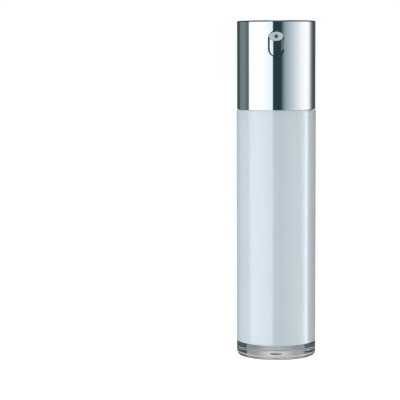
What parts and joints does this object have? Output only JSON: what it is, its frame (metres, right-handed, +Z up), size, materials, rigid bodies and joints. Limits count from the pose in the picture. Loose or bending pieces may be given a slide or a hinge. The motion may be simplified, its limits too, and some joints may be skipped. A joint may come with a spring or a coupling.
{
  "type": "airless pump bottle",
  "caption": "Airless pump bottle: white inner bottle in a clear heavy-based outer one, mirror-bright fixed shell, push-button top and an oval nozzle that rides in a slot.",
  "frame": {"origin": "centre of the resting ring at the bottle's base, on the surface it stands on", "axes": "+Z up along the bottle's axis; the nozzle points towards -Y; +X to the right when the nozzle faces the viewer"},
  "size_m": [0.034, 0.0351, 0.1427],
  "materials": {
    "clear_plastic": "polished",
    "white_plastic": "satin",
    "mirror_plastic": "polished",
    "nozzle_plastic": "satin",
    "natural_plastic": "satin",
    "soft_plastic": "matte",
    "gasket_rubber": "matte",
    "spring_steel": "polished"
  },
  "bodies": {
    "bottle": {"outer_bottle": "clear_plastic", "inner_bottle": "white_plastic", "neck_gasket": "gasket_rubber", "pump_housing": "natural_plastic", "pump_collar": "natural_plastic", "inner_shoulder": "natural_plastic", "chamber_cap": "natural_plastic", "stem_wiper": "soft_plastic", "ball_cage": "natural_plastic", "return_spring": "spring_steel", "head_shell": "mirror_plastic"},
    "push_head": {"actuator_cap": "mirror_plastic", "actuator_core": "natural_plastic", "nozzle_insert": "nozzle_plastic", "pump_stem": "natural_plastic", "stem_foot": "natural_plastic"},
    "outlet_seal": {"stem_seal": "soft_plastic"},
    "valve_ball": {"inlet_ball": "spring_steel"},
    "follower": {"follower_piston": "soft_plastic"}
  },
  "joints": [
    {"name": "button_press", "type": "slide", "parent": "bottle", "child": "push_head", "axis": [0, 0, -1], "range_m": [0, 0.006], "stiffness_N_per_m": 780, "springref_m": -0.0103, "deforming": ["return_spring"]},
    {"name": "outlet_seal_shift", "type": "slide", "parent": "push_head", "child": "outlet_seal", "axis": [0, 0, 1], "range_m": [0, 0.0008]},
    {"name": "inlet_ball_lift", "type": "slide", "parent": "bottle", "child": "valve_ball", "axis": [0, 0, 1], "range_m": [0, 0.0008]},
    {"name": "follower_rise", "type": "slide", "parent": "bottle", "child": "follower", "axis": [0, 0, 1], "range_m": [0, 0.0906]}
  ]
}
